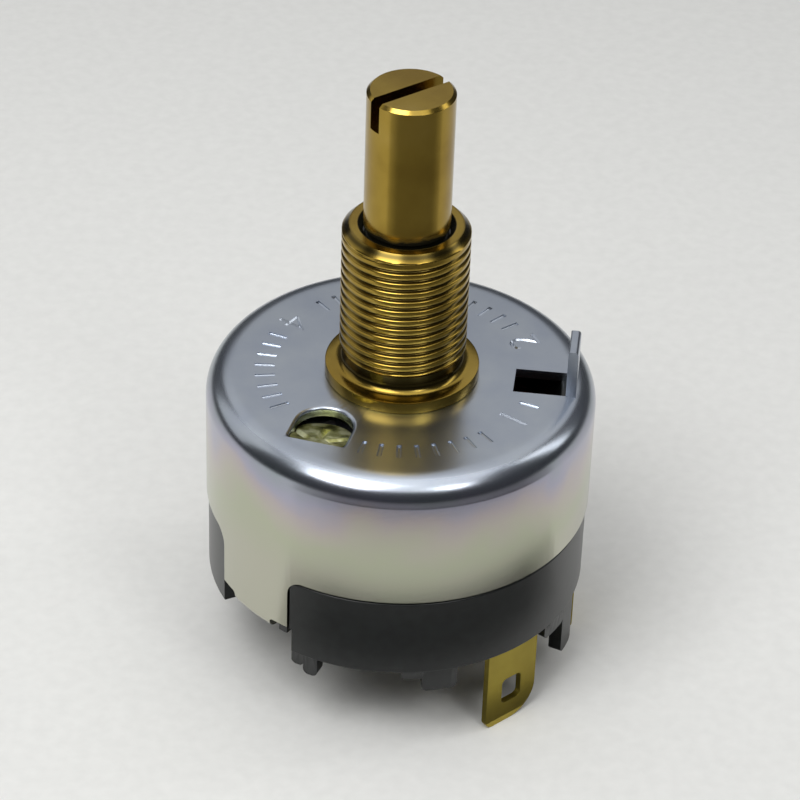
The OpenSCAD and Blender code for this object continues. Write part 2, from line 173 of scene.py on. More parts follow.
def noise(tree, place, scale, detail):
    """Mottle of that many grains a metre."""
    inputs = {"Vector": place, "Scale": scale, "Detail": detail}
    return put(tree, "ShaderNodeTexNoise", inputs).outputs["Fac"]


def dye(tree, level, *stops):
    """Colour that a value from 0 to 1 picks from a ramp."""
    return ramp(put(tree, "ShaderNodeValToRGB", {"Fac": level}), *stops).outputs["Color"]


def remap(tree, value, start=0, end=1, low=0, high=1):
    """Value brought from the span between start and end to the one between low and high."""
    inputs = {"Value": value, "From Min": start, "From Max": end, "To Min": low, "To Max": high}
    return put(tree, "ShaderNodeMapRange", inputs).outputs["Result"]


def calculate(tree, first, second, operation="ADD"):
    inputs = {"Value": first, "Value_001": second}
    return put(tree, "ShaderNodeMath", inputs, operation=operation).outputs["Value"]


def blend(tree, share, first, second):
    """First colour where the share is 0, second where it is 1."""
    inputs = {"Factor": share, "A": first, "B": second}
    mixed = put(tree, "ShaderNodeMix", inputs, data_type="RGBA")
    return next(o for o in mixed.outputs if o.enabled)


def paint(tree, shader, colour):
    tree.links.new(colour, shader.inputs["Base Color"])


def roughen(tree, shader, height, strength, depth):
    """Fine relief on the surface. Depth is in metres."""
    inputs = {"Height": height, "Strength": strength, "Distance": depth}
    bump = put(tree, "ShaderNodeBump", inputs)
    tree.links.new(bump.outputs["Normal"], shader.inputs["Normal"])


floor_size = 3000
floor_bm = bmesh.new()
bmesh.ops.create_grid(floor_bm, x_segments=1, y_segments=1, size=floor_size / 2 * MM)
bmesh.ops.translate(floor_bm, verts=floor_bm.verts, vec=(0, 0, cad_box[0].z))
floor_mesh = bpy.data.meshes.new("floor")
floor_bm.to_mesh(floor_mesh)
floor = bpy.data.objects.new("floor", floor_mesh)
bpy.context.collection.objects.link(floor)

# Matt card: no gloss at all, a faint mottle of fibres.
card, tree, shader = finish("matt_card", Roughness=0.95)
place = put(tree, "ShaderNodeTexCoord").outputs["Object"]
paint(tree, shader, dye(tree, noise(tree, place, 900, 4), (0.3, "#e2e2df"), (0.7, "#e7e7e4")))
floor_mesh.materials.append(card)

# Dark flags lie just over the sweep in front, two close in and two farther out, where the
# polished metal and the moulding would otherwise mirror too much white. Only reflections see
# them, and they pale toward their two ends.
flag_start = -142
flag_sweep = 137
flag_lift = 0.5
pale_felt = "#b4b4b0"


def felt(name, middle):
    """Dyed felt: no gloss, that dark in the middle of its sweep and pale at the ends."""
    made, tree, shader = finish(name, Roughness=1)
    place = put(tree, "ShaderNodeTexCoord").outputs["Object"]
    swept = put(tree, "ShaderNodeTexGradient", {"Vector": place}, gradient_type="RADIAL")
    stops = ((0.11, pale_felt), (0.17, middle), (0.43, middle), (0.48, pale_felt))
    paint(tree, shader, dye(tree, swept.outputs["Fac"], *stops))
    return made


def flag(name, start, end, look):
    """Sector of a ring on the floor between two distances from the axis."""
    bm = bmesh.new()
    height = cad_box[0].z + flag_lift * MM
    ends = [bm.verts.new((reach * MM, 0, height)) for reach in (start, end)]
    edge = bm.edges.new(ends)
    bmesh.ops.rotate(
        bm,
        verts=ends,
        cent=(0, 0, 0),
        matrix=Matrix.Rotation(math.radians(flag_start), 3, "Z"),
    )
    bmesh.ops.spin(
        bm,
        geom=[*ends, edge],
        cent=(0, 0, 0),
        axis=(0, 0, 1),
        angle=math.radians(flag_sweep),
        steps=48,
    )
    mesh = bpy.data.meshes.new(name)
    bm.to_mesh(mesh)
    bm.free()
    mesh.materials.append(look)
    made = bpy.data.objects.new(name, mesh)
    made.visible_camera = False
    made.visible_diffuse = False
    made.visible_shadow = False
    bpy.context.collection.objects.link(made)


black_felt = felt("black_felt", "#3c3c3b")
grey_felt = felt("grey_felt", "#7d7d7b")
flag("blade_flag", 11, 16.5, grey_felt)
flag("base_flag", 23, 32, black_felt)
flag("shoulder_flag", 43.2, 53, black_felt)
flag("shaft_flag", 53, 1400, grey_felt)

# ---------------------------------------------------------------------------------------
# Cover: one cup drawn from 0.75 mm steel sheet and zinc plated. Its two tabs run down the
# base and end in fingers folded under it. A tongue is lanced and pushed down through a
# window as the turning stop, and a lug is folded up to locate the switch in its panel.

cover_low, cover_high = (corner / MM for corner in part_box("cover"))
sheet_t = 0.75
cover_r = cover_high.y
cover_in_r = cover_r - sheet_t
shoulder_r = 2
skirt_z = -10.5
fold_z = cover_low.z + sheet_t
finger_top = fold_z + 0.2
finger_corner = 0.3
finger_in_r = cover_in_r - 2.4
bushing_hole_r = 4.53
tabs = (-137, 43)
tab_half = 14.5
finger_half = 8
tab_corner = 1.3
window_at = -127
window_r = 2.1
window_mid_r = 9.1
window_corner = 0.6
window_turn = 22
hinge_r = window_mid_r + window_r + 0.15
window_lip = 0.28
tongue_drop = 1.35
tongue_tip_r = window_mid_r - window_r + 0.2
# Clearance of the tongue in its window, its lap over the bend, and the half width of a crease
tongue_gap = 0.05
tongue_lap = 0.06
crease_w = 0.24
lug_at = -5.5
lug_w = 2.95
lug_in_r = 12.7 - sheet_t / 2
lug_hole_r = 8.425
lug_bend_r = 0.4
wall_step = 2.5


def arc(centre, radius, start, end, steps=8):
    """Points of (radius, height) round a centre in the half section, angles from outward."""
    turns = [math.radians(start + (end - start) * i / steps) for i in range(steps + 1)]
    return [(centre[0] + radius * math.cos(t), centre[1] + radius * math.sin(t)) for t in turns]


def outward(bm):
    """Turns every face to point out of its solid."""
    bmesh.ops.recalc_face_normals(bm, faces=bm.faces)
    if bm.calc_volume(signed=True) < 0:
        bmesh.ops.reverse_faces(bm, faces=bm.faces)
    return bm


def lathe(outline, steps=144):
    """Solid of revolution. An outline that starts and ends on the axis is left open there."""
    bm = bmesh.new()
    verts = [bm.verts.new((r, 0, z)) for r, z in outline]
    edges = [bm.edges.new(pair) for pair in zip(verts, verts[1:])]
    if outline[0][0] > 0:
        edges.append(bm.edges.new((verts[-1], verts[0])))
    bmesh.ops.rotate(
        bm, verts=verts, cent=(0, 0, 0), matrix=Matrix.Rotation(math.pi / steps, 3, "Z")
    )
    bmesh.ops.spin(
        bm,
        geom=verts + edges,
        cent=(0, 0, 0),
        axis=(0, 0, 1),
        angle=math.tau,
        steps=steps,
        use_merge=True,
    )
    bmesh.ops.remove_doubles(bm, verts=bm.verts, dist=1e-4)
    return outward(bm)


def block(x, y, z, rounds=()):
    """Box between two values on each axis. Each round gives the axis that its edge runs
    along, the edge's side (-1 or 1) on the two other axes, and its radius."""
    bm = bmesh.new()
    bmesh.ops.create_cube(bm, size=1)
    low = Vector((x[0], y[0], z[0]))
    high = Vector((x[1], y[1], z[1]))
    bmesh.ops.scale(bm, verts=bm.verts, vec=high - low)
    bmesh.ops.translate(bm, verts=bm.verts, vec=(low + high) / 2)
    for axis, *sides, radius in rounds:
        others = ["XYZ".index(letter) for letter in "XYZ" if letter != axis]
        corner = [(high if side > 0 else low)[i] for i, side in zip(others, sides)]
        edge = [
            e
            for e in bm.edges
            if all(
                abs(v.co[i] - place) < 1e-4 for v in e.verts for i, place in zip(others, corner)
            )
        ]
        bmesh.ops.bevel(
            bm,
            geom=edge,
            offset=radius,
            segments=10,
            profile=0.5,
            affect="EDGES",
            material=-1,
            clamp_overlap=False,
        )
    return bm


def split(bm, point, normal, drop_outer=False):
    """Splits a mesh along a plane, and drops the side that the normal points to if asked."""
    return bmesh.ops.bisect_plane(
        bm,
        geom=bm.verts[:] + bm.edges[:] + bm.faces[:],
        dist=1e-4,
        plane_co=point,
        plane_no=normal,
        clear_outer=drop_outer,
    )


def wrap(bm, radius):
    """Bends a block round the axis: X, a length on that radius, becomes the angle, and Y
    becomes the distance from the axis."""
    reach = [v.co.x for v in bm.verts]
    strip = math.radians(wall_step) * radius
    count = int((max(reach) - min(reach)) / strip)
    for i in range(1, count + 1):
        split(bm, (min(reach) + (i - 0.5) * strip, 0, 0), (1, 0, 0))
    for v in bm.verts:
        bearing = v.co.x / radius
        v.co = Vector((v.co.y * math.cos(bearing), v.co.y * math.sin(bearing), v.co.z))
    return outward(bm)


def turn(bm, degrees):
    """Turns a mesh round the shaft's axis."""
    bmesh.ops.rotate(
        bm,
        verts=bm.verts,
        cent=(0, 0, 0),
        matrix=Matrix.Rotation(math.radians(degrees), 3, "Z"),
    )
    return bm


def solid(bm, name="blank"):
    """Object in the scene with that mesh, which is used up."""
    mesh = bpy.data.meshes.new(name)
    bm.to_mesh(mesh)
    bm.free()
    made = bpy.data.objects.new(name, mesh)
    bpy.context.collection.objects.link(made)
    return made


def combine(bm, tool_bm, operation):
    """Cuts a solid from another, or joins it on."""
    body = solid(bm)
    tool = tool_bm if isinstance(tool_bm, bpy.types.Object) else solid(tool_bm)
    change = body.modifiers.new(operation, "BOOLEAN")
    change.operation = operation
    change.object = tool
    change.solver = "EXACT"
    bpy.context.view_layer.update()
    shaped = body.evaluated_get(bpy.context.evaluated_depsgraph_get())
    result = bmesh.new()
    result.from_mesh(shaped.data)
    for used in (body, tool):
        bpy.data.objects.remove(used)
    return result


def cut(bm, tool_bm):
    return combine(bm, tool_bm, "DIFFERENCE")


def join(bm, tool_bm):
    return combine(bm, tool_bm, "UNION")


def piece(name, bm, look, body, nodes, crease=35, soften=0):
    """Finished piece in metres, shaded smooth except at its sharp edges, which a small bevel
    breaks if soften says how wide."""
    bmesh.ops.scale(bm, verts=bm.verts, vec=(MM, MM, MM))
    made = solid(bm, name)
    for face in made.data.polygons:
        face.use_smooth = True
    made.data.set_sharp_from_angle(angle=math.radians(crease))
    made.data.materials.append(look)
    if soften:
        edge = made.modifiers.new("broken_edges", "BEVEL")
        edge.width = soften * MM
        edge.segments = 2
        edge.limit_method = "ANGLE"
        edge.angle_limit = math.radians(crease)
        edge.use_clamp_overlap = True
        edge.harden_normals = True
    flats = made.modifiers.new("flat_faces_stay_flat", "WEIGHTED_NORMAL")
    flats.keep_sharp = True
    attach(made, body)
    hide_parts(*nodes)
    return made


top_margin = 0.3
outer_bend = (cover_r - shoulder_r, -shoulder_r)
fold = (cover_in_r, fold_z)
cover_bm = lathe(
    [
        (bushing_hole_r, -sheet_t),
        (bushing_hole_r, 0),
        (outer_bend[0] - top_margin, 0),
        *arc(outer_bend, shoulder_r, 90, 0, 16),
        *arc(fold, sheet_t, 0, -90, 8),
        (finger_in_r, fold_z - sheet_t),
        (finger_in_r, fold_z),
        fold,
        *arc(outer_bend, shoulder_r - sheet_t, 0, 90, 10),
        (outer_bend[0] - top_margin, -sheet_t),
    ],
    round(360 / wall_step),
)

# Stamped marks round the top: a ring of short ticks, and a plain number at each position.
mark_r = 10.2
tick_l = 1.5
tick_w = 0.34
tick_step = 7.5
tick_round = 0.11
digit_size = 2.3 * 1.45
digit_depth = 0.13
digit_flat = 0.02
numbered = [(-35, "1"), (25, "2"), (85, "3"), (145, "4")]
# Angles that the ticks keep clear on each side of a number, the window and the lug
number_clear = 11
window_clear = 20
lug_clear = 13


def apart(first, second):
    """Angle between two directions, from 0 to 180."""
    return abs((first - second + 180) % 360 - 180)


marks_bm = bmesh.new()
for step in range(round(360 / tick_step)):
    at = step * tick_step
    from_number = min(apart(at, place) for place, digit in numbered)
    off_holes = apart(at, window_at) > window_clear and apart(at, lug_at) > lug_clear
    if from_number > number_clear and off_holes:
        tick = turn(
            block(
                (mark_r - tick_l / 2, mark_r + tick_l / 2),
                (-tick_w / 2, tick_w / 2),
                (-digit_depth, digit_depth),
                [("X", side, way, tick_round) for side in (-1, 1) for way in (-1, 1)],
            ),
            at,
        )
        tick_mesh = bpy.data.meshes.new("tick")
        tick.to_mesh(tick_mesh)
        marks_bm.from_mesh(tick_mesh)
for at, digit in numbered:
    letter = bpy.data.curves.new("digit", "FONT")
    letter.body = digit
    letter.align_x = "CENTER"
    letter.align_y = "CENTER"
    letter.size = digit_size
    letter.offset = digit_flat - digit_depth
    letter.extrude = digit_flat
    letter.bevel_depth = digit_depth - digit_flat
    letter.bevel_resolution = 0
    letter.resolution_u = 4
    letter_object = bpy.data.objects.new("digit", letter)
    bpy.context.collection.objects.link(letter_object)
    bpy.context.view_layer.update()
    shaped = bpy.data.meshes.new_from_object(
        letter_object.evaluated_get(bpy.context.evaluated_depsgraph_get())
    )
    bpy.data.objects.remove(letter_object)
    shaped.transform(
        Matrix.Rotation(math.radians(at), 4, "Z")
        @ Matrix.Translation((mark_r, 0, 0))
        @ Matrix.Rotation(math.radians(90), 4, "Z")
    )
    marks_bm.from_mesh(shaped)
bmesh.ops.remove_doubles(marks_bm, verts=marks_bm.verts, dist=1e-4)
cover_bm = cut(cover_bm, outward(marks_bm))

reach = (finger_in_r - 1, cover_r + 1)
for at, opposite in (tabs, (tabs[1], tabs[0] + 360)):
    gap = math.radians(opposite - at - 2 * tab_half) / 2 * cover_r
    opening = block(
        (-gap, gap),
        reach,
        (cover_low.z - 1, skirt_z),
        [("Y", -1, 1, tab_corner), ("Y", 1, 1, tab_corner)],
    )
    cover_bm = cut(cover_bm, turn(wrap(opening, cover_r), (at + opposite) / 2))
for at in tabs:
    for end in (-1, 1):
        width = math.radians(tab_half + 1 - finger_half) / 2 * cover_r
        beside = block(
            (-width, width), reach, (cover_low.z - 1, finger_top), [("Y", -end, 1, finger_corner)]
        )
        middle = at + end * (tab_half + 1 + finger_half) / 2
        cover_bm = cut(cover_bm, turn(wrap(beside, cover_r), middle))


# Puts the window, drawn on the X axis, in its place: turned about its round end's middle
window_place = (
    Matrix.Rotation(math.radians(window_at), 4, "Z")
    @ Matrix.Translation((window_mid_r, 0, 0))
    @ Matrix.Rotation(math.radians(window_turn), 4, "Z")
    @ Matrix.Translation((-window_mid_r, 0, 0))
)


def window_block(inset, z):
    """Plan of the window: half round toward the axis, small round corners outside."""
    r = window_r - inset
    inner = [("Z", -1, side, r * 0.999) for side in (-1, 1)]
    outer = [("Z", 1, side, window_corner) for side in (-1, 1)]
    bm = block((window_mid_r - r, hinge_r), (-r, r), z, inner + outer)
    bmesh.ops.transform(bm, verts=bm.verts, matrix=window_place)
    return bm


# Punching has rolled the window's upper edge over, except along the tongue's bend.
lip_steps = 4
opening = window_block(0, (-2, 1))
for step in range(lip_steps + 1):
    rolled = math.radians(90 / lip_steps * step)
    split(opening, (0, 0, window_lip * (math.sin(rolled) - 1)), (0, 0, 1))
for v in opening.verts:
    spot = window_place.inverted() @ v.co
    climb = min(max(spot.z + window_lip, 0), window_lip)
    grown = 1 + (window_lip - math.sqrt(window_lip**2 - climb**2)) / window_r
    spot.x = min(window_mid_r + (spot.x - window_mid_r) * grown, hinge_r)
    spot.y *= grown
    v.co = window_place @ spot
cover_bm = cut(cover_bm, outward(opening))
lug_hole = block((lug_hole_r, lug_in_r + sheet_t), (-lug_w / 2, lug_w / 2), (-2, 1))
cover_bm = cut(cover_bm, turn(lug_hole, lug_at))

# The tongue is the window's own metal, bent down about the window's outer edge.
slope = math.atan(tongue_drop / (hinge_r - tongue_tip_r))
window_way = window_place.to_3x3() @ Vector((1, 0, 0))
tongue_face = window_way * -math.sin(slope) + Vector((0, 0, math.cos(slope)))
hinge = window_place @ Vector((hinge_r, 0, 0))
tongue_bm = window_block(tongue_gap, (-4, 1))
for point, normal in ((hinge, tongue_face), (hinge - tongue_face * sheet_t, -tongue_face)):
    parted = split(tongue_bm, point, normal, drop_outer=True)
    rim = [e for e in parted["geom_cut"] if isinstance(e, bmesh.types.BMEdge)]
    bmesh.ops.edgeloop_fill(tongue_bm, edges=rim)
bmesh.ops.translate(tongue_bm, verts=tongue_bm.verts, vec=window_way * tongue_lap)

# Three creases fan out over the tongue from the middle of its bend.
tongue_l = (hinge_r - tongue_tip_r) / math.cos(slope)
tongue_place = (
    window_place @ Matrix.Translation((hinge_r, 0, 0)) @ Matrix.Rotation(-slope, 4, "Y")
)
for swing in (-44, 1, 47):
    crease_bm = block((-tongue_l * 0.75, -1), (-crease_w, crease_w), (-crease_w, crease_w))
    crease_place = (
        tongue_place
        @ Matrix.Rotation(math.radians(swing), 4, "Z")
        @ Matrix.Rotation(math.radians(45), 4, "X")
    )
    bmesh.ops.transform(crease_bm, verts=crease_bm.verts, matrix=crease_place)
    tongue_bm = cut(outward(tongue_bm), crease_bm)
cover_bm = join(cover_bm, outward(tongue_bm))

# The lug stands at the outer end of its hole, with the bend's round on the hole's side.
lug_bm = block(
    (lug_in_r, lug_in_r + sheet_t),
    (-lug_w / 2, lug_w / 2),
    (-sheet_t + 0.02, cover_high.z),
    [("Y", -1, -1, lug_bend_r), ("Y", 1, 1, 0.3), ("Y", -1, 1, 0.12)],
)
cover_bm = join(cover_bm, turn(lug_bm, lug_at))

# Zinc plate with a clear passivate: blue-grey metal with a soft gloss on the flat top, and
# on the drawn wall, where the film is thicker, thin washes that run from violet under the
# shoulder through rose to yellow-green.
zinc, tree, shader = finish("passivated_zinc_plate", Metallic=1, Roughness=0.2)
place = put(tree, "ShaderNodeTexCoord").outputs["Object"]
sway = remap(tree, noise(tree, place, 140, 3), low=-4.5 * MM, high=4.5 * MM)
height = put(tree, "ShaderNodeSeparateXYZ", {"Vector": place}).outputs["Z"]
wash = dye(
    tree,
    remap(tree, calculate(tree, height, sway), skirt_z * MM, -0.5 * MM),
    (0, "#bcbbac"),
    (0.3, "#b8bba6"),
    (0.5, "#bdb8ae"),
    (0.65, "#bbb2b4"),
    (0.8, "#adacbd"),
    (1, "#9fa7ad"),
)
top_share = remap(tree, height, -1.2 * MM, -0.1 * MM)
top_tint = dye(tree, noise(tree, place, 260, 5), (0.3, "#b0b8c6"), (0.7, "#bec5ce"))
paint(tree, shader, blend(tree, top_share, wash, top_tint))
tree.links.new(remap(tree, top_share, low=0.2, high=0.28), shader.inputs["Roughness"])
roughen(tree, shader, noise(tree, place, 2500, 3), 0.08, 2e-5)

# On the torn and bent metal of the window the film is thick: matt yellow-green.
torn, tree, shader = finish("chromate_on_torn_edges", Metallic=0.8, Roughness=0.34)
place = put(tree, "ShaderNodeTexCoord").outputs["Object"]
patches = noise(tree, place, 900, 4)
stops = ((0.36, "#4d4d26"), (0.5, "#aaaa6c"), (0.62, "#dcdcb0"))
paint(tree, shader, dye(tree, patches, *stops))
roughen(tree, shader, patches, 0.3, 5e-5)

shell = piece("cover_shell", cover_bm, zinc, "housing", ["cover"])
shell.data.materials.append(torn)
# Torn metal is whatever faces the window below the top, out to the tongue's bend
for face in shell.data.polygons:
    spot = window_place.inverted() @ (face.center / MM)
    from_middle = math.hypot(min(spot.x - window_mid_r, 0), spot.y)
    if from_middle < window_r - 0.03 and spot.x < hinge_r + 0.1 and -3 < spot.z < -0.02:
        face.material_index = 1

# ---------------------------------------------------------------------------------------
# Bushing: turned from brass bar, with a 3/8-32 thread, a smooth neck and a thin flange on
# the cover. Its spigot passes through the cover and is swaged out under it.

bushing_low, bushing_high = (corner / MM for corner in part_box("bushing"))
bushing_h = bushing_high.z
flange_r = bushing_high.y
flange_t = 1
neck_r = 4.35
neck_fillet = 0.7
thread_r = 4.7
thread_pitch = 25.4 / 32
thread_depth = 0.27
thread_foot = 2.3
mouth_chamfer_r = 4.2
mouth_r = 3.525
bore_r = 3.225
spigot_r = 4.5
swage_r = 5.2
thread_land = 0.75
# One turn's section from root to root, as shares of the pitch and of the depth
ridge = [(0, 0), (0.06, 0.06), (0.12, 0.25), (0.2, 0.7), (0.24, 0.9), (0.3, 1), (0.5, 1)]
ridge += [(1 - run, height) for run, height in reversed(ridge[:-1])]
turn_steps = 96

bushing_bm = bmesh.new()
section = [
    bushing_bm.verts.new(
        (
            thread_r - thread_depth * (1 - height),
            0,
            thread_foot + thread_pitch * (run - 1),
        )
    )
    for run, height in ridge
]
strip = [bushing_bm.edges.new(pair) for pair in zip(section, section[1:])]
thread_turns = math.ceil((bushing_h - thread_foot) / thread_pitch) + 1
bmesh.ops.spin(
    bushing_bm,
    geom=section + strip,
    cent=(0, 0, 0),
    axis=(0, 0, 1),
    dvec=(0, 0, thread_pitch / turn_steps),
    angle=math.tau * thread_turns,
    steps=turn_steps * thread_turns,
)
bmesh.ops.remove_doubles(bushing_bm, verts=bushing_bm.verts, dist=1e-3)
for height, way in ((thread_foot, -1), (bushing_h, 1)):
    split(bushing_bm, (0, 0, height), (0, 0, way), drop_outer=True)


def set_radius(vert, radius):
    """Moves a point straight in or out to that distance from the axis."""
    share = radius / math.hypot(vert.co.x, vert.co.y)
    vert.co.x *= share
    vert.co.y *= share


# The thread dies out into the neck at its foot and into a plain land and a chamfer at its end.
for vert in bushing_bm.verts:
    climb = vert.co.z - thread_foot
    left = bushing_h - vert.co.z
    radius = max(math.hypot(vert.co.x, vert.co.y), neck_r - 0.3 * climb)
    radius += (thread_r - radius) * min(max((thread_land - left) / 0.15, 0), 1)
    set_radius(vert, min(radius, neck_r + climb, mouth_chamfer_r + left))


def draw_on(bm, ring, outline):
    """Draws a ring of edges on through an outline of (radius, height), as a lathe cuts it."""
    for radius, height in outline:
        grown = bmesh.ops.extrude_edge_only(bm, edges=ring)["geom"]
        fresh = {v for v in grown if isinstance(v, bmesh.types.BMVert)}
        for vert in fresh:
            set_radius(vert, radius)
            vert.co.z = height
        ring = [
            e for e in grown if isinstance(e, bmesh.types.BMEdge) and set(e.verts) <= fresh
        ]
    return ring


ends = [e for e in bushing_bm.edges if e.is_boundary]
mouth = draw_on(
    bushing_bm,
    [e for e in ends if e.verts[0].co.z > bushing_h / 2],
    [
        (mouth_r + 0.05, bushing_h),
        (mouth_r, bushing_h - 0.05),
        (bore_r, bushing_h - mouth_r + bore_r),
        (bore_r, bushing_low.z + 0.2),
    ],
)
foot = draw_on(
    bushing_bm,
    [e for e in ends if e.verts[0].co.z < bushing_h / 2],
    [
        *arc((neck_r + neck_fillet, flange_t + neck_fillet), neck_fillet, 180, 270, 6),
        (flange_r - 0.12, flange_t),
        (flange_r - 0.03, flange_t - 0.03),
        (flange_r, flange_t - 0.12),
        (flange_r, 0.1),
        (flange_r - 0.1, 0),
        (spigot_r, 0),
        (spigot_r, -sheet_t),
        (swage_r - 0.15, -sheet_t - 0.05),
        (swage_r, -sheet_t - 0.2),
        (swage_r - 0.2, bushing_low.z),
        (bore_r + 0.2, bushing_low.z),
    ],
)
bmesh.ops.bridge_loops(bushing_bm, edges=mouth + foot)

# Turned brass, bare and a little handled: warm yellow with a sharp gloss and fine tool
# rings, with painted shade in the thread's roots. Round the shaft at the bushing's mouth and
# down the bore it is painted black: painted shade of the mouth and its reflection in the shaft.
brass, tree, shader = finish("turned_brass", Metallic=1, Roughness=0.2)
place = put(tree, "ShaderNodeTexCoord").outputs["Object"]
stops = ((0.35, "#907632"), (0.55, "#a1873c"), (0.7, "#a88e45"))
tarnish = dye(tree, noise(tree, place, 220, 5), *stops)
plan = put(tree, "ShaderNodeMapping", {"Vector": place, "Scale": (1, 1, 0)}).outputs[0]
reach = put(tree, "ShaderNodeVectorMath", {"Vector": plan}, operation="LENGTH").outputs["Value"]
height = put(tree, "ShaderNodeSeparateXYZ", {"Vector": place}).outputs["Z"]
# Painted shade: black in the bore and on the shaft below a wavy edge just above the mouth, where
# the metal also loses most of its gloss.
mouth_shade_wobble = remap(tree, noise(tree, place, 450, 3), low=-0.5 * MM, high=0.7 * MM)
painted_mouth_shade = calculate(
    tree,
    remap(tree, reach, 3.62 * MM, 3.52 * MM),
    remap(
        tree, calculate(tree, height, mouth_shade_wobble), (bushing_h + 0.75) * MM, (bushing_h + 0.35) * MM
    ),
    "MULTIPLY",
)
# Painted shade: the thread's roots darken toward dull brown, while the crests and everything far
# inside the roots keep the tarnished brass.
root_r = thread_r - thread_depth
unshaded_share = calculate(
    tree,
    remap(tree, reach, root_r * MM, (thread_r - 0.02) * MM),
    remap(tree, reach, (root_r - 0.1) * MM, (root_r - 0.4) * MM),
    "MAXIMUM",
)
with_root_shade = blend(tree, unshaded_share, linear("#4f4423"), tarnish)
paint(tree, shader, blend(tree, painted_mouth_shade, with_root_shade, linear("#1b1a13")))
tree.links.new(remap(tree, painted_mouth_shade, low=1, high=0.2), shader.inputs["Metallic"])
rings = put(tree, "ShaderNodeMapping", {"Vector": place, "Scale": (200, 200, 12000)})
roughen(tree, shader, noise(tree, rings.outputs["Vector"], 1, 2), 0.15, 1e-5)

piece("bushing_body", outward(bushing_bm), brass, "housing", ["bushing"])

# ---------------------------------------------------------------------------------------
# Shaft: quarter-inch brass rod with a screwdriver slot sawn across its end, a groove for
# the retaining clip, and a double-flatted lower end that carries the switching pieces.

shaft_low, shaft_high = (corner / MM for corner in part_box("shaft"))
shaft_r = shaft_high.y
shaft_chamfer = 0.25
slot_w = 1
slot_depth = 2.35
slot_at = 37
# Radius, low and high of each groove. The one in the bushing's mouth follows the CAD, where it
# only parts the free end from the journal for the mount check: the real shaft is likely plain.
mouth_groove = (shaft_r - 0.2, bushing_h - 0.55, bushing_h + 0.05)
clip_groove = (2.555, -1.9, -1.4)
key_r = shaft_r - 0.27
key_flat = shaft_r - 0.97
key_top = -2

shaft_bm = lathe(
    [
        (0, shaft_low.z),
        (key_r - 0.2, shaft_low.z),
        (key_r, shaft_low.z + 0.2),
        (key_r, key_top),
        (shaft_r, key_top),
        (shaft_r, clip_groove[1]),
        (clip_groove[0], clip_groove[1]),
        (clip_groove[0], clip_groove[2]),
        (shaft_r, clip_groove[2]),
        (shaft_r, mouth_groove[1]),
        (mouth_groove[0], mouth_groove[1]),
        (mouth_groove[0], mouth_groove[2]),
        (shaft_r, mouth_groove[2]),
        (shaft_r, shaft_high.z - shaft_chamfer),
        (shaft_r - shaft_chamfer, shaft_high.z),
        (0, shaft_high.z),
    ]
)
for side in (-1, 1):
    flat = block(
        (-shaft_r, shaft_r),
        sorted((side * key_flat, side * (shaft_r + 1))),
        (shaft_low.z - 1, key_top),
    )
    shaft_bm = cut(shaft_bm, flat)
slot_bm = block(
    (-shaft_r - 1, shaft_r + 1),
    (-slot_w / 2, slot_w / 2),
    (shaft_high.z - slot_depth, shaft_high.z + 1),
)
shaft_bm = cut(shaft_bm, turn(slot_bm, slot_at))

piece("shaft_rod", shaft_bm, brass, "shaft_assembly", ["shaft"], soften=0.05)

# ---------------------------------------------------------------------------------------
# Base: one cup moulded in black phenolic. The cover grips it by the ledge under its floor,
# and a rim with feet stands below, open where the blades and the fingers pass.

base_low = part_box("base")[0] / MM
base_r = 14.4
spigot_top = -0.75
base_spigot_r = 13.7
base_round = 1.2
base_step_z = -10.8
disc_shelf_z = -6.5
cup_r = 11.9
cup_low_r = 11.3
floor_top = -12.6
floor_low = -15.2
rim_in_r = 12.6
rim_low = -17.3
recess_r = 13.65
recess_half = 15
rib_low = -16.5
notch_half = 8.7
gap = (11.9, 15.8)
blade_at = (-49, 11, 71, 131)
blade_w = 4.8
blade_t = 0.5
blade_face_r = 13.9
contact_r = 7.2
rivet_r = 1.25
leaf_x = 5.57
leaf_half = 11.27
leaf_z = (-5.8, 1)
leaf_slot = 0.3
leaf_play = 0.15
blade_gap = 0.2
# Start and end angle of each foot and step on the rim, and how far it stands below the rim
feet = [
    (-117.2, -112.5, 1.6),
    (-80.7, -70, 1.8),
    (-26, -18, 4.3),
    (92, 108, 1.8),
    (158, 172, 1.8),
    (-121.4, -117, 1),
    (-87, -79.7, 0.6),
    (-37, -25.5, 1.1),
]


def rounded(outline, steps=4):
    """Outline in which each corner that has a third number is rounded to that radius."""
    points = []
    for i, corner in enumerate(outline):
        if len(corner) == 2:
            points.append(corner)
            continue
        here = Vector(corner[:2])
        before = (Vector(outline[i - 1][:2]) - here).normalized()
        after = (Vector(outline[(i + 1) % len(outline)][:2]) - here).normalized()
        half = before.angle(after) / 2
        centre = here + (before + after).normalized() * corner[2] / math.sin(half)
        start = here + before * corner[2] / math.tan(half) - centre
        end = here + after * corner[2] / math.tan(half) - centre
        sweep = start.angle_signed(end)
        for k in range(steps + 1):
            share = k / steps
            spoke = Matrix.Rotation(-sweep * share, 2) @ start
            points.append(tuple(centre + spoke))
    return points


base_bm = lathe(
    rounded(
        [
            (0, floor_low),
            (rim_in_r, floor_low, 0.2),
            (rim_in_r, rim_low, 0.15),
            (base_r, rim_low, 0.12),
            (base_r, base_step_z, 0.15),
            (base_spigot_r, base_step_z),
            (base_spigot_r, spigot_top, base_round),
            (cup_r, spigot_top, 0.15),
            (cup_r, disc_shelf_z),
            (cup_low_r, disc_shelf_z),
            (cup_low_r, floor_top, 0.2),
            (0, floor_top),
        ]
    ),
    round(360 / wall_step),
)


def wall_block(start, end, depth, z, rounds=()):
    """Block on the wall between two angles, two distances from the axis and two heights."""
    half = math.radians(end - start) / 2 * base_r
    return turn(wrap(block((-half, half), depth, z, rounds), base_r), (start + end) / 2)


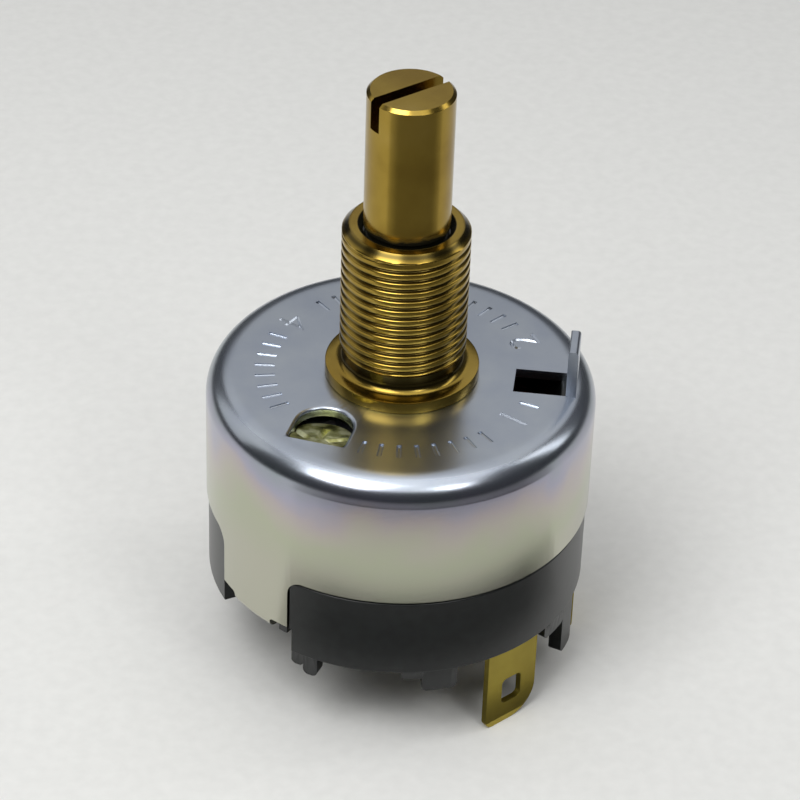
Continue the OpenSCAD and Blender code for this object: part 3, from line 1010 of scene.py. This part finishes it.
foot_t = 1.05
foot_round = 0.45
foot_inset = 0.03
foot_root = 0.3
for start, end, drop in feet:
    corner = min(foot_round, drop * 0.7)
    foot_bm = wall_block(
        start,
        end,
        (base_r - foot_t, base_r - foot_inset),
        (rim_low - drop, rim_low + foot_root),
        [("Y", -1, -1, corner), ("Y", 1, -1, corner)],
    )
    base_bm = join(base_bm, foot_bm)
deep = base_low.z - 1
for at in tabs:
    around = (at - recess_half, at + recess_half)
    base_bm = cut(
        base_bm, wall_block(*around, (recess_r, base_r + 1), (deep, base_step_z + 0.3))
    )
    base_bm = cut(base_bm, wall_block(*around, (rim_in_r - 1, base_r + 1), (deep, rib_low)))
    notch = wall_block(
        at - notch_half, at + notch_half, (rim_in_r - 1, base_r + 1), (deep, floor_low)
    )
    base_bm = cut(base_bm, notch)
    for start, end in (gap, (-gap[1], -gap[0])):
        opened = wall_block(at + start, at + end, (rim_in_r - 1, base_r + 1), (deep, floor_low))
        base_bm = cut(base_bm, opened)
for at in blade_at:
    slot_bm = block(
        (rim_in_r - 1, blade_face_r + 0.1),
        (-blade_w / 2 - blade_gap, blade_w / 2 + blade_gap),
        (deep, floor_low),
    )
    base_bm = cut(base_bm, turn(slot_bm, at))


def set_out(outline, distance):
    """Small turned solid whose own axis stands at a distance along X."""
    bm = lathe(outline, 48)
    bmesh.ops.translate(bm, verts=bm.verts, vec=(distance, 0, 0))
    return bm


def pin(radius, low, high, distance):
    """Plain round pin between two heights."""
    return set_out([(0, low), (radius, low), (radius, high), (0, high)], distance)


rivet_places = [(0, 0)] + [(at, contact_r) for at in blade_at[:3]]
for at, distance in rivet_places:
    hole = pin(rivet_r, floor_low - 1, floor_top + 1, distance)
    base_bm = cut(base_bm, turn(hole, at))
for side in (-1, 1):
    across = (side * leaf_x - leaf_slot, side * leaf_x + leaf_slot)
    along = (-leaf_half - leaf_play, leaf_half + leaf_play)
    base_bm = cut(base_bm, block(across, along, leaf_z))

# Moulded phenolic: near-black with a grey-green cast, a soft gloss from the polished mould
# that the light rakes into a grey sheen, and a faint mottle of the filler.
phenolic, tree, shader = finish("black_phenolic_moulding", Roughness=0.3, IOR=1.54)
place = put(tree, "ShaderNodeTexCoord").outputs["Object"]
filler = noise(tree, place, 1200, 6)
paint(tree, shader, dye(tree, filler, (0.35, "#101212"), (0.65, "#171a1a")))
roughen(tree, shader, filler, 0.1, 2e-5)

piece("base_moulding", base_bm, phenolic, "housing", ["base"], soften=0.08)

# ---------------------------------------------------------------------------------------
# Terminals: four blades stamped from brass strip, each riveted under the floor by its foot
# and folded down. One corner of each tip is cut to a large round, and a wire eye is punched.

foot_w = 4.2
bend_r = blade_t + 0.4
tip_z = cad_box[0].z / MM
eye_z = tip_z + 2.95
eye_w = 1.86
eye_h = 2.3
eye_corner = 0.4
terminals = [("terminal_3", contact_r), ("terminal_2", contact_r), ("terminal_1", contact_r)]
terminals.append(("terminal_common", 0))

# Rolled brass strip gone slightly dull: greenish yellow, soft satin gloss along the rolling
# direction, small cloudy stains.
strip_brass, tree, shader = finish("rolled_strip_brass", Metallic=1, Roughness=0.38)
place = put(tree, "ShaderNodeTexCoord").outputs["Object"]
paint(tree, shader, dye(tree, noise(tree, place, 180, 4), (0.3, "#8e7e34"), (0.6, "#a99842")))
rolling = put(tree, "ShaderNodeMapping", {"Vector": place, "Scale": (9000, 9000, 250)})
roughen(tree, shader, noise(tree, rolling.outputs["Vector"], 1, 2), 0.12, 1e-5)

for at, (node, rivet_at) in zip(blade_at, terminals):
    bend_z = floor_low - bend_r
    side_view = rounded(
        [
            (rivet_at, floor_low),
            (blade_face_r, floor_low, bend_r),
            (blade_face_r, bend_z - 0.5),
            (blade_face_r - blade_t, bend_z - 0.5),
            (blade_face_r - blade_t, floor_low - blade_t, bend_r - blade_t),
            (rivet_at, floor_low - blade_t),
        ],
        6,
    )
    strap = bmesh.new()
    outline_face = strap.faces.new(
        [strap.verts.new((x, -foot_w / 2, z)) for x, z in side_view]
    )
    grown = bmesh.ops.extrude_face_region(strap, geom=[outline_face])["geom"]
    bmesh.ops.translate(
        strap,
        verts=[v for v in grown if isinstance(v, bmesh.types.BMVert)],
        vec=(0, foot_w, 0),
    )
    blade = block(
        (blade_face_r - blade_t, blade_face_r),
        (-blade_w / 2, blade_w / 2),
        (tip_z, bend_z),
        [("X", 1, -1, blade_w / 2 + 0.1), ("X", -1, -1, 0.7)],
    )
    terminal_bm = join(blade, outward(strap))
    terminal_bm = join(terminal_bm, pin(foot_w / 2, floor_low - blade_t, floor_low, rivet_at))
    eye = block(
        (blade_face_r - blade_t - 1, blade_face_r + 1),
        (-eye_w / 2, eye_w / 2),
        (eye_z - eye_h / 2, eye_z + eye_h / 2),
        [("X", a, b, eye_corner) for a in (-1, 1) for b in (-1, 1)],
    )
    terminal_bm = cut(terminal_bm, eye)
    hole = pin(rivet_r, floor_low - 2, floor_low + 1, rivet_at)
    terminal_bm = turn(cut(terminal_bm, hole), at)
    piece(node + "_blade", terminal_bm, strip_brass, "housing", [node], soften=0.06)

# ---------------------------------------------------------------------------------------
# Contact rivets: silver rivets through the floor, each headed over its terminal's foot
# below. The upper heads are the fixed contacts.

rivet_head_r = 1.9
rivet_head_t = 0.65
rivet_low = floor_low - blade_t - 0.5
shank_r = rivet_r - 0.01

# Silver: white metal, gone faintly brown where the sulphur in the air has reached it.
silver, tree, shader = finish("headed_silver", Metallic=1, Roughness=0.28)
place = put(tree, "ShaderNodeTexCoord").outputs["Object"]
bloom = noise(tree, place, 500, 5)
paint(tree, shader, dye(tree, bloom, (0.35, "#b7a98f"), (0.6, "#dcd8cf")))
roughen(tree, shader, bloom, 0.1, 2e-5)

rivet_nodes = ("contact_rivet_3", "contact_rivet_2", "contact_rivet_1")
rivets = [("contact_rivet_common", 0, 0)]
rivets += [(node, at, contact_r) for node, at in zip(rivet_nodes, blade_at)]
for node, at, distance in rivets:
    rivet_bm = set_out(
        [
            (0, rivet_low),
            *arc((rivet_head_r - 0.9, floor_low - blade_t), 0.5, -90, -45, 3),
            (rivet_head_r - 0.15, floor_low - blade_t - 0.18),
            (rivet_head_r - 0.2, floor_low - blade_t),
            (shank_r, floor_low - blade_t),
            (shank_r, floor_top),
            (rivet_head_r, floor_top),
            (rivet_head_r, floor_top + rivet_head_t / 2),
            (rivet_head_r - 0.25, floor_top + rivet_head_t * 0.8),
            (rivet_head_r - 0.8, floor_top + rivet_head_t),
            (0, floor_top + rivet_head_t),
        ],
        distance,
    )
    head = node + "_headed"
    piece(head, turn(rivet_bm, at), silver, "housing", [node], soften=0.03)

# ---------------------------------------------------------------------------------------
# Works inside: on the shaft a clip, a stop plate, a detent cam, and a rotor that carries the
# sprung contact bridge; in the cup two leaf springs and an insulating disc. Their shapes are
# the CAD's own, and each gets its real finish.


def dress(look, *nodes):
    """Gives CAD nodes their finish."""
    for node in nodes:
        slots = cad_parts[node].data.materials
        slots.clear()
        slots.append(look)


def worked(name, scale, low_colour, high_colour, **sockets):
    """Finish with a mottle between two colours, and a bump of the same pattern. Scale is in
    grains a metre."""
    made, tree, shader = finish(name, **sockets)
    place = put(tree, "ShaderNodeTexCoord").outputs["Object"]
    grain = noise(tree, place, scale, 5)
    paint(tree, shader, dye(tree, grain, (0.35, low_colour), (0.65, high_colour)))
    roughen(tree, shader, grain, 0.2, 2e-5)
    return made


# Blued spring steel: dark blue-grey, satin.
blued = worked("blued_spring_steel", 700, "#3b4048", "#5a6068", Metallic=1, Roughness=0.35)
dress(blued, "retaining_clip", "detent_spring_left", "detent_spring_right")
# Plain steel wire: brighter, drawn smooth.
wire = worked("drawn_steel_wire", 900, "#8f9296", "#a9acb0", Metallic=1, Roughness=0.25)
dress(wire, "contact_spring")
# Blanked steel with the same zinc plate as the cover, but dull.
blanked = worked("barrelled_zinc_plate", 800, "#9fa4ab", "#b9bdc2", Metallic=1, Roughness=0.4)
dress(blanked, "stop_plate")
# Moulded nylon: milky ivory with a little light inside it.
nylon = worked(
    "moulded_nylon", 600, "#d9d3c0", "#e6e1d0", Roughness=0.45, Subsurface_Weight=0.1, IOR=1.53
)
dress(nylon, "index_cam", "rotor")
# Vulcanised fibre: brick red, hard and dry, with a calendered mottle.
fibre = worked("vulcanised_fibre", 1100, "#7c3a2c", "#93493a", Roughness=0.6, IOR=1.5)
dress(fibre, "insulating_disc")
dress(strip_brass, "contact_bridge")
dress(silver, "bridge_contacts")
